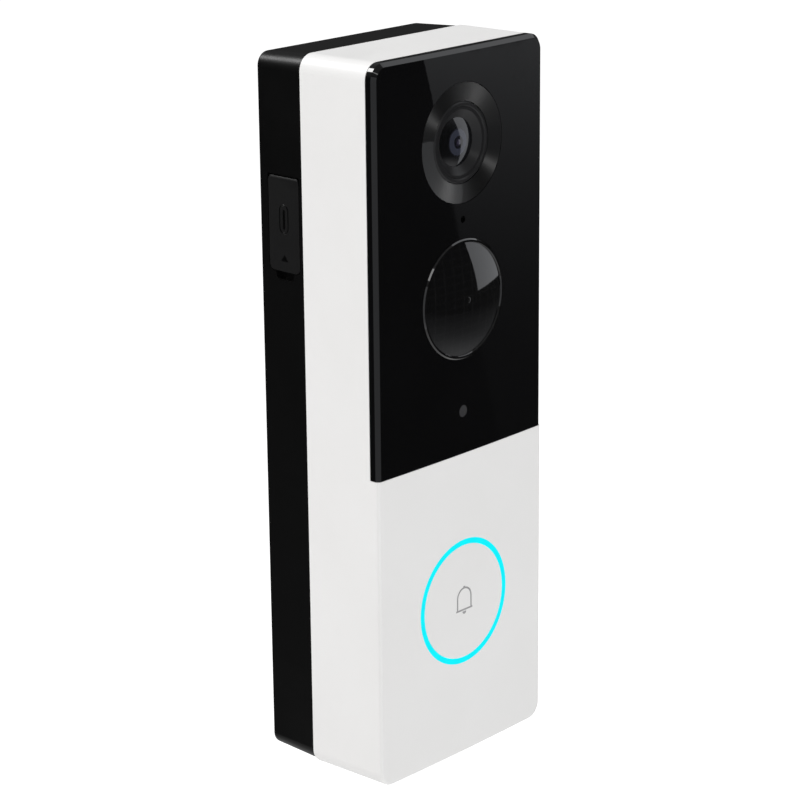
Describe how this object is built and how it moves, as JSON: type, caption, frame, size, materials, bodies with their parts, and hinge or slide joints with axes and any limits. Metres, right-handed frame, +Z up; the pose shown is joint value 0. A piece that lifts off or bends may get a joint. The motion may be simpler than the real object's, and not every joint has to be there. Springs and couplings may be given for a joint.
{
  "type": "video doorbell",
  "caption": "Battery video doorbell: white and black slab case with camera, motion lens, lit bell button, side charging flap and slide-on wall bracket.",
  "frame": {"origin": "middle of the wall bracket's back face, on the wall", "axes": "+Z up along the case, +Y into the wall, the front faces -Y, and the charging flap is on the -X side"},
  "size_m": [0.049, 0.0326, 0.143],
  "materials": {
    "white_shell": "fine satin moulded plastic, warm white",
    "black_shell": "fine satin moulded plastic, black",
    "dark_panel": "polished, near black",
    "dark_trim": "satin black, turned look",
    "motion_lens": "polished dark dome",
    "lens_glass": "coated optical glass",
    "button_white": "fine satin moulded plastic, warm white",
    "light_guide": "translucent, lit cyan",
    "status_grey": "translucent smoke grey",
    "soft_black": "matt soft plastic, black",
    "seal_grey": "soft foam or silicone",
    "board_green": "circuit board with solder mask",
    "inner_plastic": "plain moulded plastic",
    "chip_black": "moulded chip package",
    "light_chip": "light chip",
    "steel": "plain steel",
    "shield_metal": "tinned sheet",
    "cell_wrap": "wrapped cell",
    "contact_metal": "plated spring strip"
  },
  "bodies": {
    "wall_bracket": {"mounting_bracket": "black_shell"},
    "latch": {"bracket_latch": "steel"},
    "unit": {"front_housing": "white_shell", "rear_housing": "black_shell", "housing_gasket": "seal_grey", "front_glass": "dark_panel", "panel_adhesive": "seal_grey", "light_pipe": "status_grey", "housing_screws": "steel", "board_screws": "steel", "camera_bezel": "dark_trim", "lens_ring": "dark_trim", "front_lens": "lens_glass", "lens_barrel": "dark_trim", "aperture_stop": "chip_black", "lens_holder": "inner_plastic", "image_sensor": "chip_black", "camera_board": "board_green", "camera_gasket": "seal_grey", "pir_lens": "motion_lens", "pir_holder": "inner_plastic", "pir_sensor": "shield_metal", "pir_board": "board_green", "sensor_bar_board": "board_green", "infrared_leds": "chip_black", "microphone": "shield_metal", "microphone_boot": "seal_grey", "light_ring": "light_guide", "button_switch": "chip_black", "button_board": "board_green", "board_leds": "light_chip", "battery_cells": "cell_wrap", "battery_holder": "inner_plastic", "battery_contacts": "contact_metal", "speaker": "chip_black", "speaker_gasket": "seal_grey", "main_board": "board_green", "shield_can": "shield_metal", "board_connector": "inner_plastic", "wifi_antenna": "board_green", "antenna_cable": "soft_black", "usb_c_port": "steel", "sync_switch": "chip_black", "port_cover_anchor": "soft_black"},
    "bell_button": {"button_cap": "button_white", "switch_plunger": "inner_plastic"},
    "port_flap": {"port_cover": "soft_black"},
    "sync_key": {"sync_button": "inner_plastic"}
  },
  "joints": [
    {"name": "unit_lift", "type": "slide", "parent": "wall_bracket", "child": "unit", "axis": [0, 0, 1], "range_m": [0, 0.006]},
    {"name": "latch_give", "type": "slide", "parent": "wall_bracket", "child": "latch", "axis": [0, 1, 0], "range_m": [0, 0.00106]},
    {"name": "button_press", "type": "slide", "parent": "unit", "child": "bell_button", "axis": [0, 1, 0], "range_m": [0, 0.0004], "stiffness_N_per_m": 1500, "springref_m": -0.0005},
    {"name": "flap_hinge", "type": "hinge", "parent": "unit", "child": "port_flap", "pos_m": [-0.02336, -0.0071, 0.04715], "axis": [0.0471, 0.9989, 0], "range_deg": [0, 95]},
    {"name": "sync_press", "type": "slide", "parent": "unit", "child": "sync_key", "axis": [0.9989, -0.0471, 0], "range_m": [0, 0.0004], "stiffness_N_per_m": 1500, "springref_m": -0.0003}
  ],
  "couplings": [
    {"joint": "latch_give", "follows": "unit_lift", "ratio": 0.175}
  ]
}
